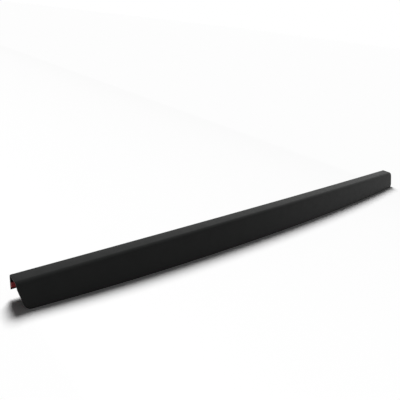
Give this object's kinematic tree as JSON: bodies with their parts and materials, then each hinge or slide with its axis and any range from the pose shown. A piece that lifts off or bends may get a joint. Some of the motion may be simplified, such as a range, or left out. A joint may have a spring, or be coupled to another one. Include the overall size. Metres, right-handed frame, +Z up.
{
  "type": "tailgate spoiler",
  "caption": "Tailgate spoiler: a long thin-walled cap of U section with a short inner lip, a level top and a deep bellied outer flange, with foam tape and red release liner inside.",
  "frame": {"origin": "middle of the seat, the underside of the top plate, where it lies on the top edge of the tailgate", "axes": "+X along the tailgate, +Y towards the load bed, +Z up"},
  "size_m": [1.62, 0.0749, 0.074],
  "materials": {
    "shell_plastic": "satin, fine moulded grain",
    "foam_tape": "closed-cell foam, matte",
    "release_liner": "smooth red film"
  },
  "bodies": {
    "root": {"spoiler_shell": "shell_plastic", "lip_tape": "foam_tape", "lip_tape_liner": "release_liner", "flange_tape": "foam_tape", "flange_tape_liner": "release_liner"}
  },
  "joints": []
}
